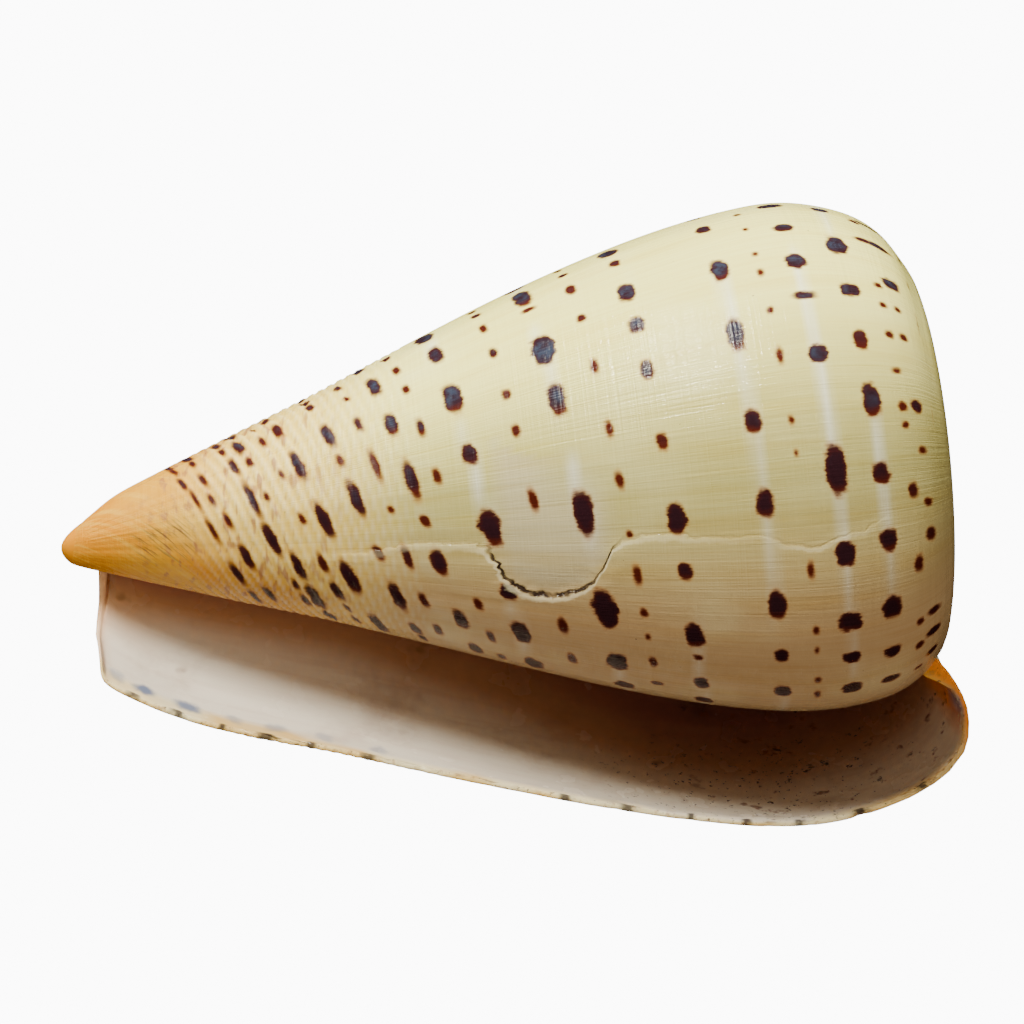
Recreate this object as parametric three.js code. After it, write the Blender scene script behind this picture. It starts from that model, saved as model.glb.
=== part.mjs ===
import * as THREE from 'three';

// Cone shell, empty, lying on its back with the opening upward. One piece, grown as one.
// Millimetres. The shell is drawn about its own axis first: A runs along the axis from the
// narrow tip (0) to the spire, and every point turns about that axis with the growth value t,
// counted in whorls: 0 at the outer lip, -1 one whorl back, and so on to the first whorls.

const SPIRE_A = 115.4;          // where the axis meets the top of the spire
const WHORL_RATIO = 1.4;        // radius of the suture from one whorl to the next
const COLUMNS_PER_WHORL = 45;
const BODY_ROWS = 16;           // rows of the visible side of a whorl, tip to shoulder
const RAMP_ROWS = 4;            // rows of the ramp between shoulder and suture
const SPIRE_WHORLS = 5;         // whorls that show on the spire behind the last one
const CAVITY_WHORLS = 1.8;      // how far the hollow is followed inward
const CLOSED_FROM = -16 / 45;   // growth value where the canal closes round the tip
const LIP_THICKNESS = 0.8;
const WALL_THICKNESS = 2.9;
const INSIDE_THICKNESS = 1.1;   // wall of the whorls inside
const THICKENING = 0.18;        // part of a whorl over which the lip reaches the full wall
const CANAL_THINNING = 0.4;     // wall left at the edge of the canal, as a part of the wall beside it
const TIP_CAP_A = -0.3;         // the rounded end of the tip
const ROLL_DEG = -82;           // turn about the axis that brings the back underneath
const TILT_DEG = -17;           // tilt of the axis on the side it rests on
const REST_CUT = 0.75;          // depth worn flat where it rests

// Stations of a whorl from the tip over the shoulder to the suture:
// [A, radius] one whorl back, [A, radius] at the lip, and how late in the whorl A and the
// radius swing out from the first to the second.
const STATIONS = [
  [0.9, 2.1, 3.4, 15.2, -2, 5],
  [2.2, 2.7, 3.9, 18, -1, 6],
  [6.5, 4.1, 8.1, 20.9, 1.5, 4.3],
  [13, 6.2, 14.5, 24.1, 1.2, 3.7],
  [22, 9, 23, 27.1, 1, 3.2],
  [33, 12.4, 33, 30, 1, 2.6],
  [45, 16.5, 45, 33.9, 1, 2],
  [57, 20.7, 56, 37.3, 1, 1.55],
  [69, 24.7, 67.5, 40.6, 1, 1.3],
  [80, 27.8, 78.5, 43.3, 1, 1.15],
  [90, 29.8, 88.5, 45, 1, 1.08],
  [97.5, 30.3, 96, 45.2, 1, 1.05],
  [104.3, 29.5, 103.5, 44, 1, 1.5],
  [108.6, 27.6, 109.7, 41.6, 3, 2.2],
  [111.5, 24.8, 114.3, 37.8, 6, 3.3],
  [112.4, 22.2, 115.3, 32.6, 6, 2.4],
  [112.65, 19.8, 113.9, 28.3, 5, 1],
];
const SHOULDER = 14;            // station that touches the suture of the next whorl
const INNER_EDGE = 13.45;       // station where the roof of the hollow meets the whorl inside
const SUTURE = STATIONS.length;
const suture = [STATIONS[SHOULDER][0], STATIONS[SHOULDER][1]];
STATIONS.push([
  SPIRE_A - (SPIRE_A - suture[0]) / WHORL_RATIO, suture[1] / WHORL_RATIO,
  suture[0], suture[1], Math.log(WHORL_RATIO), Math.log(WHORL_RATIO),
]);

const smooth = (x) => { const c = Math.min(Math.max(x, 0), 1); return c * c * (3 - 2 * c); };
const mix = (a, b, w) => a + (b - a) * w;

// One column of the station table at any place between two stations.
function station(column, s) {
  const i = Math.min(Math.floor(s), SUTURE - 1);
  const w = s - i;
  const at = (k) => STATIONS[Math.min(Math.max(k, 0), SUTURE)][column];
  const slope0 = (at(i + 1) - at(Math.max(i - 1, 0))) / 2;
  const slope1 = (at(i + 2) - at(i)) / 2;
  return (2 * at(i) - 2 * at(i + 1) + slope0 + slope1) * w ** 3
    + (3 * at(i + 1) - 3 * at(i) - 2 * slope0 - slope1) * w ** 2 + slope0 * w + at(i);
}

const swing = (t, k) => (Math.exp(k * t) - Math.exp(-k)) / (1 - Math.exp(-k));

// Outer face of the shell in the plane through the axis: [A, radius].
function profile(t, s) {
  const a1 = station(0, s);
  const r1 = station(1, s);
  if (t >= -1) {
    return [
      mix(a1, station(2, s), swing(t, station(4, s))),
      mix(r1, station(3, s), swing(t, station(5, s))),
    ];
  }
  const shrink = WHORL_RATIO ** (t + 1);
  return [mix(a1, mix(SPIRE_A, a1, shrink), smooth((s - 8) / 4)), r1 * shrink];
}

// Inner face, on the same row and column as the whorl inside it.
function innerProfile(t, u) {
  const s = SUTURE * u;
  const out = profile(t, s);
  const below = profile(t, Math.max(s - 0.05, 0));
  const above = profile(t, Math.min(s + 0.05, SUTURE));
  const inside = profile(t - 1, INNER_EDGE * u);
  const along = Math.hypot(above[0] - below[0], above[1] - below[1]);
  const room = Math.hypot(out[0] - inside[0], out[1] - inside[1]);
  const grown = mix(LIP_THICKNESS, WALL_THICKNESS, smooth(-t / THICKENING));
  const wall = Math.min(mix(grown, INSIDE_THICKNESS, smooth((-0.9 - t) / 0.4)), 0.45 * room)
    * mix(CANAL_THINNING, 1, smooth(u / 0.12));
  const face = [
    out[0] + wall * (above[1] - below[1]) / along,
    out[1] - wall * (above[0] - below[0]) / along,
  ];
  const start = mix(CLOSED_FROM, -CAVITY_WHORLS, smooth(u / 0.4) ** 0.5);
  const open = smooth((t - start) / 0.2) * smooth((1 - u) / 0.08);
  return [mix(inside[0], face[0], open), mix(inside[1], face[1], open)];
}

// Whorl angle 0 is the lip; growth turns the shell to the right hand seen from the spire.
function place([a, r], t) {
  const angle = 2 * Math.PI * t;
  return new THREE.Vector3(a, -r * Math.sin(angle), -r * Math.cos(angle));
}
const outer = (t, s) => place(profile(t, s), t);
const inner = (t, u) => place(innerProfile(t, u), t);

const triangles = [];
function addTriangle(a, b, c, flip) {
  if (a.distanceTo(b) < 1e-6 || b.distanceTo(c) < 1e-6 || c.distanceTo(a) < 1e-6) return;
  triangles.push(...(flip ? [a, c, b] : [a, b, c]));
}
function addSheet(points, flip, skip = () => false) {
  for (let i = 0; i + 1 < points.length; i += 1) {
    for (let j = 0; j + 1 < points[i].length; j += 1) {
      const corners = [[i, j], [i + 1, j], [i + 1, j + 1], [i, j + 1]];
      for (const pick of [[0, 1, 2], [0, 2, 3]]) {
        const used = pick.map((n) => corners[n]);
        if (!used.every(([m, n]) => skip(m, n))) {
          addTriangle(...used.map(([m, n]) => points[m][n]), flip);
        }
      }
    }
  }
}
// Closes the gap between two edges that start and end together, whatever their point counts.
function addBand(first, second, flip) {
  let i = 0;
  let j = 0;
  while (i + 1 < first.length || j + 1 < second.length) {
    const stepFirst = j + 1 >= second.length
      || (i + 1 < first.length && (i + 1) / (first.length - 1) <= (j + 1) / (second.length - 1));
    if (stepFirst) {
      addTriangle(first[i], first[i + 1], second[j], flip);
      i += 1;
    } else {
      addTriangle(first[i], second[j + 1], second[j], flip);
      j += 1;
    }
  }
}

const span = (from, to, count) => Array.from({ length: count + 1 }, (_, n) => mix(from, to, n / count));
const whorl = (from, to) => span(from, to, Math.round((to - from) * COLUMNS_PER_WHORL));
const bodyRows = span(0, INNER_EDGE, BODY_ROWS);
const rampRows = span(SHOULDER, SUTURE, RAMP_ROWS);

// Last whorl, and the ramps of the earlier ones.
addSheet(whorl(-1, 0).map((t) => [...bodyRows, ...rampRows].map((s) => outer(t, s))), true);
const firstWhorl = -1 - SPIRE_WHORLS;
addSheet(whorl(firstWhorl, -1).map((t) => rampRows.map((s) => outer(t, s))), true);

// The hollow: the whorl inside and the inner face of the last whorl share rows and columns,
// and both stop where they meet.
const hollow = whorl(-CAVITY_WHORLS, 0);
const whorlInside = hollow.map((t) => bodyRows.map((s) => outer(t - 1, s)));
const innerFace = hollow.map((t) => bodyRows.map((s) => inner(t, s / INNER_EDGE)));
const meet = (i, j) => innerFace[i][j].distanceTo(whorlInside[i][j]) < 1e-6;
addSheet(whorlInside, true, meet);
addSheet(innerFace, false, meet);

// Edge of the lip, and the edge of the open canal up to where it closes.
const lipOuter = [...bodyRows, ...rampRows].map((s) => outer(0, s));
addBand(lipOuter, innerFace[hollow.length - 1], false);
const canal = whorl(CLOSED_FROM, 0);
const canalInner = canal.map((t) => inner(t, 0));
addBand(canal.map((t) => outer(t, 0)), canalInner, false);

// Rounded tip and the top of the spire.
function addCap(loop, centreA, flip) {
  const rings = [1, 0.8, 0.5].map((q) => loop.map((p) => new THREE.Vector3(
    mix(centreA, p.x, q * q), p.y * q, p.z * q)));
  const centre = new THREE.Vector3(centreA, 0, 0);
  for (let n = 0; n < loop.length; n += 1) {
    const m = (n + 1) % loop.length;
    for (let k = 0; k + 1 < rings.length; k += 1) {
      addTriangle(rings[k][n], rings[k][m], rings[k + 1][m], flip);
      addTriangle(rings[k][n], rings[k + 1][m], rings[k + 1][n], flip);
    }
    addTriangle(rings[rings.length - 1][n], rings[rings.length - 1][m], centre, flip);
  }
}
addCap(whorl(CLOSED_FROM - 1, CLOSED_FROM).map((t) => outer(t, 0)), TIP_CAP_A, false);
addCap([
  ...whorl(firstWhorl, firstWhorl + 1).map((t) => outer(t, SUTURE)),
  ...rampRows.slice(1, -1).map((s) => outer(firstWhorl, s)),
], SPIRE_A, true);

const geometry = new THREE.BufferGeometry().setFromPoints(triangles);
geometry.rotateX(THREE.MathUtils.degToRad(ROLL_DEG));
geometry.rotateY(THREE.MathUtils.degToRad(TILT_DEG));
geometry.computeBoundingBox();
const box = geometry.boundingBox;
geometry.translate(
  -(box.min.x + box.max.x) / 2, -(box.min.y + box.max.y) / 2, -(box.min.z + REST_CUT));
const position = geometry.getAttribute('position');
for (let n = 0; n < position.count; n += 1) position.setZ(n, Math.max(position.getZ(n), 0));
geometry.computeVertexNormals();

const shell = new THREE.Mesh(geometry, new THREE.MeshStandardMaterial({
  name: 'ivory shell', color: 0xdcd3ad, roughness: 0.3, metalness: 0,
}));
shell.name = 'shell';

const group = new THREE.Group();
group.name = 'cone_shell';
group.add(shell);

export default group;
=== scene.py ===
import math

import bpy
import numpy as np
from mathutils import Matrix, Vector


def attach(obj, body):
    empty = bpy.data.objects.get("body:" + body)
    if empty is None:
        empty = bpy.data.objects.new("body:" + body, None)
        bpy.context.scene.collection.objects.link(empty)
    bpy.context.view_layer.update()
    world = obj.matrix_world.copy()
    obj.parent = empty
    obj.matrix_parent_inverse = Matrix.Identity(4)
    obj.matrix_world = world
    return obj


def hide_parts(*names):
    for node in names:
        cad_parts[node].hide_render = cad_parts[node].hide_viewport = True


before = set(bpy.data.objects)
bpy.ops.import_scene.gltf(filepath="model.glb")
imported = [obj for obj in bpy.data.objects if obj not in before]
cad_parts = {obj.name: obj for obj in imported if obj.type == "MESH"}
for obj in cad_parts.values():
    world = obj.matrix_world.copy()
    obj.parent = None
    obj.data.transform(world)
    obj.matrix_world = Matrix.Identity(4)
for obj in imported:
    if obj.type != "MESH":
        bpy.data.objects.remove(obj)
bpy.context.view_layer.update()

MM = 0.001

# The growth of the shell, in millimetres along (A) and out from (radius) its own axis. Growth
# t counts whorls: 0 is the outer lip, -1 one whorl back.
SPIRE_A = 115.4          # where the axis meets the top of the spire
WHORL_RATIO = 1.4        # radius of the suture from one whorl to the next
SHOULDER = 14            # station that touches the suture of the next whorl
INNER_EDGE = 13.45       # station where the roof of the hollow meets the whorl inside
SUTURE = 17              # the last station
SPIRE_WHORLS = 5         # whorls that show on the spire behind the last one
CAVITY_WHORLS = 1.8      # how far the hollow is followed inward
CLOSED_FROM = -16 / 45   # growth where the canal closes round the tip
LIP_THICKNESS = 0.8
WALL_THICKNESS = 2.9
INSIDE_THICKNESS = 1.1   # wall of the whorls inside
ROOM_FOR_WALL = 0.45     # most of the room between two whorls that a wall takes up
THICKENING = 0.18        # part of a whorl over which the lip reaches the full wall
CANAL_THINNING = 0.4     # wall left at the edge of the canal, as a part of the wall beside it
TIP_CAP_A = -0.3         # the rounded end of the tip
ROLL_DEG = -82           # turn about the axis that brings the back underneath
TILT_DEG = -17           # tilt of the axis on the side it rests on
TIP_PLACE = (-58.1245442, 4.2596321, 12.9092731)   # the tip of the axis once laid down
# Stations run from the tip over the shoulder to the suture: A and radius one whorl back, A and
# radius at the lip, and how late in the whorl A and the radius swing out.
STATIONS = np.array([
    (0.9, 2.1, 3.4, 15.2, -2, 5),
    (2.2, 2.7, 3.9, 18, -1, 6),
    (6.5, 4.1, 8.1, 20.9, 1.5, 4.3),
    (13, 6.2, 14.5, 24.1, 1.2, 3.7),
    (22, 9, 23, 27.1, 1, 3.2),
    (33, 12.4, 33, 30, 1, 2.6),
    (45, 16.5, 45, 33.9, 1, 2),
    (57, 20.7, 56, 37.3, 1, 1.55),
    (69, 24.7, 67.5, 40.6, 1, 1.3),
    (80, 27.8, 78.5, 43.3, 1, 1.15),
    (90, 29.8, 88.5, 45, 1, 1.08),
    (97.5, 30.3, 96, 45.2, 1, 1.05),
    (104.3, 29.5, 103.5, 44, 1, 1.5),
    (108.6, 27.6, 109.7, 41.6, 3, 2.2),
    (111.5, 24.8, 114.3, 37.8, 6, 3.3),
    (112.4, 22.2, 115.3, 32.6, 6, 2.4),
    (112.65, 19.8, 113.9, 28.3, 5, 1),
    (SPIRE_A - (SPIRE_A - 111.5) / WHORL_RATIO, 24.8 / WHORL_RATIO, 111.5, 24.8,
     math.log(WHORL_RATIO), math.log(WHORL_RATIO)),
])


def smooth(x):
    c = np.clip(x, 0, 1)
    return c * c * (3 - 2 * c)


def mix(a, b, w):
    return a + (b - a) * w


def station(column, s):
    """One column of the stations at any place between two of them."""
    values = STATIONS[:, column]
    i = np.minimum(s.astype(int), SUTURE - 1)
    w = s - i
    at = lambda k: values[np.clip(k, 0, SUTURE)]
    slope0 = (at(i + 1) - at(i - 1)) / 2
    slope1 = (at(i + 2) - at(i)) / 2
    return ((2 * at(i) - 2 * at(i + 1) + slope0 + slope1) * w ** 3
            + (3 * at(i + 1) - 3 * at(i) - 2 * slope0 - slope1) * w ** 2 + slope0 * w + at(i))


def swing(t, k):
    """How far the last whorl has swung out from its start (0) to the lip (1)."""
    return (np.exp(k * t) - np.exp(-k)) / (1 - np.exp(-k))


# The canal's edge wanders along the axis on its way to the lip: growth t and shift in mm.
CANAL_EDGE_T = [-0.6, -0.36, -0.25, -0.185, -0.107, -0.075, -0.05, -0.03, 0]
CANAL_EDGE_SHIFT = [0, 0.6, 0.8, 0.8, 0.1, -0.3, -0.5, -0.25, 0]


def profile(t, s):
    """Outer face of the shell in the plane through the axis: A and radius."""
    t, s = np.broadcast_arrays(np.asarray(t, float), np.asarray(s, float))
    a1, r1 = station(0, s), station(1, s)
    last = t >= -1
    late = np.where(last, t, -1.0)
    a = mix(a1, station(2, s), swing(late, station(4, s)))
    a += np.interp(late, CANAL_EDGE_T, CANAL_EDGE_SHIFT) * (1 - smooth(s / 1.6))
    r = mix(r1, station(3, s), swing(late, station(5, s)))
    shrink = WHORL_RATIO ** (np.where(last, -1.0, t) + 1)
    a_early = mix(a1, mix(SPIRE_A, a1, shrink), smooth((s - 8) / 4))
    return np.where(last, a, a_early), np.where(last, r, r1 * shrink)


def inner_profile(t, u):
    """Inner face, from the tip (u = 0) to the whorl inside (u = 1)."""
    t, u = np.broadcast_arrays(np.asarray(t, float), np.asarray(u, float))
    s = SUTURE * u
    a, r = profile(t, s)
    a_below, r_below = profile(t, np.maximum(s - 0.05, 0))
    a_above, r_above = profile(t, np.minimum(s + 0.05, SUTURE))
    a_in, r_in = profile(t - 1, INNER_EDGE * u)
    along = np.hypot(a_above - a_below, r_above - r_below)
    room = np.hypot(a - a_in, r - r_in)
    grown = mix(LIP_THICKNESS, WALL_THICKNESS, smooth(-t / THICKENING))
    wall = np.minimum(mix(grown, INSIDE_THICKNESS, smooth((-0.9 - t) / 0.4)), ROOM_FOR_WALL * room)
    wall = wall * mix(CANAL_THINNING, 1, smooth(u / 0.12))
    a_face = a + wall * (r_above - r_below) / along
    r_face = r - wall * (a_above - a_below) / along
    start = mix(CLOSED_FROM, -CAVITY_WHORLS, smooth(u / 0.4) ** 0.5)
    opening = smooth((t - start) / 0.2) * smooth((1 - u) / 0.08)
    return mix(a_in, a_face, opening), mix(r_in, r_face, opening)


def place(a, r, t):
    """Turns a point of the profile about the axis, to where its growth puts it."""
    angle = 2 * np.pi * t
    return np.stack(np.broadcast_arrays(a, -r * np.sin(angle), -r * np.cos(angle)), -1)


rest_turn = (Matrix.Rotation(math.radians(TILT_DEG), 3, "Y")
             @ Matrix.Rotation(math.radians(ROLL_DEG), 3, "X"))


def on_the_floor(points):
    """Points of the shell's own frame, laid down on its back, in metres."""
    turned = points @ np.array(rest_turn).T + np.array(TIP_PLACE)
    turned[..., 2] = np.maximum(turned[..., 2], 0)
    return turned * MM


# The photograph: 0.13 mm per pixel at 430 mm, the axis swung 1.5 degrees away and turned
# 5.5 degrees in the picture, with the tip at pixel (62, 548).
IMAGE_SIZE = 1024
SENSOR_WIDTH = 36
VIEW_DISTANCE = 430.0
PIXEL = 0.13
TIP_PIXEL = (62, 548)
SWING = math.radians(1.5)
LEAN = math.radians(5.5)
MIDDLE_A = 58            # the place on the axis that lies at the viewing distance
axis_in_view = Vector((math.cos(SWING) * math.cos(LEAN), math.cos(SWING) * math.sin(LEAN),
                       -math.sin(SWING)))
up_in_view = Vector((-math.sin(LEAN), math.cos(LEAN), 0))
front_in_view = axis_in_view.cross(up_in_view)
shell_to_view = Matrix((axis_in_view, -front_in_view, up_in_view)).transposed()
tip_depth = -axis_in_view.z * MIDDLE_A
reach = (VIEW_DISTANCE - tip_depth) * PIXEL / VIEW_DISTANCE
tip_in_view = Vector(((TIP_PIXEL[0] - IMAGE_SIZE / 2) * reach,
                      (IMAGE_SIZE / 2 - TIP_PIXEL[1]) * reach, tip_depth))


def from_view(point):
    """A point given in the camera's directions, in mm, as a point of the scene, in metres."""
    shell_point = shell_to_view.inverted() @ (Vector(point) - tip_in_view)
    return (rest_turn @ shell_point + Vector(TIP_PLACE)) * MM


view_turn = rest_turn @ shell_to_view.inverted()
camera_data = bpy.data.cameras.new("camera")
camera_data.sensor_width = SENSOR_WIDTH
camera_data.lens = SENSOR_WIDTH * VIEW_DISTANCE / PIXEL / IMAGE_SIZE
camera_data.clip_start = 0.01
camera = bpy.data.objects.new("camera", camera_data)
bpy.context.scene.collection.objects.link(camera)
camera.matrix_world = (Matrix.Translation(from_view((0, 0, VIEW_DISTANCE)))
                       @ view_turn.to_4x4())
bpy.context.scene.camera = camera

# Rows of spots run round the shell. Each row: A where it passes the first and the second of
# these degrees, then its spots: degrees round, width and height in mm, and depth of tone.
ROW_FROM, ROW_TO = -200, -330
SPOT_ROWS = [
    (110.6, 111.2, [(-218, 1, 3, .6), (-232, 1.2, 3.4, .7), (-257.6, 1.2, 4, .8), (-286, 1, 3.2, .7),
                    (-302, .9, 2.4, .5), (-308, .9, 2, .4), (-320, .9, 2, .5)]),
    (107, 109.2, [(-208, 3, 1.2, .7), (-223, 2.2, 1.8, .8), (-231, .9, .8, .1), (-239, .9, 1, .1),
                  (-256, 1.6, 1.6, .6), (-266.6, 1, .8, .1), (-279, 1, 1, .1), (-287, 1.2, 1.6, .4),
                  (-310, 1.8, 1.2, .5), (-318, 2, 1.6, .7), (-328, 1.6, 1.6, .5)]),
    (105.2, 107.3, [(-197, 1.2, 1, .3), (-208, 2, 1, .4), (-225, .9, .8, .1), (-231, .9, .8, .1),
                    (-239, 1, 1, .1), (-248, 1, .7, .1), (-256.4, 1.1, 1.2, .1), (-260.6, .9, .9, .1),
                    (-275.6, 1.2, 1.8, .4), (-293.6, 1.2, 2, .3), (-311, .9, 1, .2), (-320, 1.1, 1.4, .3),
                    (-332, 1, 1, .2)]),
    (101.3, 103.6, [(-193, 2.2, 2.4, .8), (-213, 2.6, 4, 1), (-228, 2.4, 2.2, .9), (-241, 1.9, 2.4, .4),
                    (-255, 2.4, 4, .9), (-271, 2, 2.8, .6), (-286, 2.1, 3, .8), (-303.6, 2.3, 3.4, 1),
                    (-318, 2.1, 2.2, .8), (-331, 2.1, 1.8, .6)]),
    (95.3, 98.5, [(-190, 3, 3, 1), (-206, 2.6, 2, .8), (-219.4, 2.6, 2.6, .9), (-229.6, 2.6, 1.2, .8),
                  (-244, 2.5, 2.4, .9), (-269.4, 2.6, 6, 1), (-288, 2.7, 3.4, 1), (-305.4, 2.8, 3, 1),
                  (-317, 2.3, 2.2, .9), (-331, 2.5, 3, .9)]),
    (90.7, 94.2, [(-193.6, .8, 1, .1), (-204, .6, .8, 0), (-215, .6, .8, .1), (-221.4, .7, 1.2, 0),
                  (-232.4, .8, 1, .1), (-243.6, .8, 2, 0), (-258, .6, 1, 0), (-265, .4, .6, 0),
                  (-291, .8, 2, 0), (-307, .8, 1.2, 0), (-313.4, .5, 1, 0), (-325, .7, 1.4, 0),
                  (-333, .7, 2, 0)]),
    (85.9, 89.9, [(-198, 1.8, 2.6, .6), (-217.6, 2.3, 4, 1), (-236.8, 2.2, 4.4, 1), (-257, 2, 3, .9),
                  (-275, 2, 3.6, 1), (-299.6, 2.1, 4.2, 1), (-315, 1.8, 2.4, .8), (-331, 1.9, 3.2, .9)]),
    (74.2, 79.8, [(-190, 2.4, 4, 1), (-200.6, 1.4, 2, .4), (-215.6, 2.1, 3.6, 1), (-227.4, 1.8, 2.6, 1),
                  (-240.6, 1.7, 2.8, .8), (-258.6, 1.4, 2.2, .3), (-277.4, 2.3, 3.8, .9),
                  (-290.4, 1.8, 2.4, .6), (-309.6, 2.2, 4, 1), (-317.6, 1, 1.2, .2), (-330, 1.9, 3.2, .8),
                  (-344, 2, 3, .8)]),
    (68, 74.2, [(-185, 1, 1.6, .3), (-193.6, 1.2, 1.4, .4), (-205.2, 1.2, 2.4, .2), (-219.2, 1.1, 1.4, .3),
                (-235.8, 1, 2, .1), (-253.4, .9, 2, .1), (-266.6, .9, 2, .1), (-280.6, .8, .8, 0),
                (-291.6, 1, 2.6, .1), (-303, .9, 1.4, .1), (-311.4, .6, 1, 0), (-322, 1, 2, .2),
                (-334.6, 1.4, 1.4, .3)]),
    (62.3, 69.8, [(-197, 2.2, 6, .9), (-206.6, 1.6, 1, .2), (-225.6, 3, 4.8, 1), (-242.4, 2.2, 4.4, .9),
                  (-274.4, 2.4, 5.6, 1), (-303, 3, 6, 1), (-325, 2.6, 4, 1), (-341.6, 2.4, 3, .9)]),
    (56.5, 64.1, [(-186, 1, 1.4, .3), (-193.6, 1.2, 1.6, .4), (-205.6, 1, 2, .2), (-219.6, 1.1, 1.8, .6),
                  (-236.2, 1.1, 1.4, .2), (-248.2, 1.1, 1.6, .2), (-269.4, 1, 2.6, .1), (-311, 1.1, 2.8, .2),
                  (-327.4, 1.1, 2.4, .2)]),
    (50, 58.6, [(-188, 2.4, 5, 1), (-207.4, 1.7, 4, .9), (-231, 2.4, 4.6, 1), (-252.6, 1.9, 2.6, .6),
                (-277, 2.6, 4.8, 1), (-299.4, 2, 2.4, .8), (-317.6, 2.2, 4, .9), (-339.4, 2.2, 4, .9)]),
    (44.9, 54.5, [(-189, 1.2, 2, .4), (-205.4, .9, 2, .2), (-219.2, .9, 1.6, .2), (-238.2, 1, 2.4, .6),
                  (-257.4, 1, 2, .2), (-306.4, 1, 1.8, .2), (-323.4, 1, 2.4, .4), (-340, 1, 2, .3)]),
    (41.6, 51.5, [(-184, 1.4, 3, .9), (-208.6, 1.5, 4.4, 1), (-232.6, 1.6, 3.6, .8), (-257, 1.6, 5, .9),
                  (-273, 1.2, 1.6, .2), (-289.4, 1.8, 3.6, .9), (-316, 1.7, 3.6, .8),
                  (-337.4, 1.6, 3.4, .8)]),
    (38, 47.7, [(-195, .9, 2, .5), (-208.4, .7, 1, .2), (-226.8, .9, 2.4, .5), (-248, 1, 4, .3),
                (-267.4, .8, 1, .1), (-287.6, 1.1, 3, .5), (-308, 1, 2.2, .4), (-326.6, 1, 2.4, .4)]),
    (33.8, 44.6, [(-192, 1.2, 2, .5), (-200, 1, 2, .4), (-226.6, 1.4, 4, .9), (-241.8, .9, 1.8, .2),
                  (-260.4, 1.5, 4.6, .9), (-286, 1.2, 2, .4), (-308, 1.5, 4.6, 1), (-330.4, 1.2, 3, .8),
                  (-340, 1, 2, .5)]),
    (28.8, 39.6, [(-188, 1, 2, .4), (-208, 1.1, 3.4, .4), (-237.4, 1.4, 4.4, .9), (-268.6, 1.5, 4.6, 1),
                  (-300, 1.7, 5, 1), (-335, 1.5, 5.4, .9)]),
    (26.5, 36.8, [(-212, .8, 2.4, .3), (-240, .7, 1.4, .2), (-267, .8, 1.4, .2), (-292, 1, 2.6, .3),
                  (-310, 1.2, 3, .8), (-323, .7, 1.4, .2), (-335, .8, 2, .3)]),
    (23.9, 33.2, [(-225, .9, 1.6, .4), (-251, .7, 1.2, .2), (-295, 1.3, 4, .9), (-318, 1.5, 4.6, 1),
                  (-338, 1.2, 3, .7)]),
    (21.8, 31.6, [(-223, 1, 3, .6), (-250.4, 1, 5, 1), (-277.6, 1.4, 4.4, 1), (-309, .8, 1.6, .4),
                  (-323, .9, 2.4, .5)]),
    (18, 27, [(-262, .8, 2, .4), (-289.6, 1.2, 3.4, .9), (-322, 1, 3, .7)]),
    (15.5, 24.5, [(-240, .6, 3, .3), (-268, .7, 3, .4), (-305, 1, 3.4, .7), (-330, .8, 3, .5)]),
]
# The line where the lip once broke and grew on: degrees round at each A, and how strongly it
# shows at each A.
SCAR_A = [30, 39.5, 45, 53.5, 55, 56.3, 58, 60.5, 63, 65, 67, 68.5, 70, 72, 76, 88, 90, 94, 97, 100, 103]
SCAR_ROUND = [-287, -286, -281.5, -282, -286, -295, -298.5, -300, -299.8, -297.8, -294.6, -289, -283,
              -281.5, -281.2, -282.5, -284, -286, -284, -282.8, -281]
SCAR_DEPTH_A = [34, 40, 53.5, 55.5, 69, 71, 88, 92, 100, 104]
SCAR_DEPTH = [0, 0.28, 0.35, 1, 1, 0.4, 0.22, 0.4, 0.3, 0]

# Dark dashes on the lip's rim and blue-grey smudges inside it: A and half length in mm.
RIM_DASHES = [(7.5, 0.5), (13, 0.6), (18.5, 0.3), (24, 0.7), (29.6, 0.5), (37, 0.6), (62, 0.55),
              (70, 0.7), (78, 0.3), (85, 0.5), (92, 0.5), (100, 0.7), (108, 0.5)]
# The smudges also say how strong they are.
RIM_SMUDGES = [(5, 0.9, 0.5), (8.3, 1.2, 1), (13.8, 1.5, 0.95), (19.5, 1, 0.45), (25, 1.3, 0.5),
               (31, 1.1, 0.4), (38, 1.1, 0.45)]

chance = np.random.RandomState(11)


class Waves:
    """Smooth noise in one or two directions, the same on each run."""

    def __init__(self, seed):
        self.grid = np.random.RandomState(seed).uniform(-1, 1, (256, 256))

    def __call__(self, x, y=0.0):
        x, y = np.broadcast_arrays(np.asarray(x, float), np.asarray(y, float))
        i, j = np.floor(x).astype(int), np.floor(y).astype(int)
        wx, wy = smooth(x - i), smooth(y - j)
        at = lambda m, n: self.grid[m % 256, n % 256]
        return mix(mix(at(i, j), at(i + 1, j), wx), mix(at(i, j + 1), at(i + 1, j + 1), wx), wy)


waves = [Waves(seed) for seed in range(6)]


def row_slope(a_from, a_to):
    """Millimetres along the axis that a row of spots gains with each degree back."""
    return (a_to - a_from) / (ROW_FROM - ROW_TO)


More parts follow.
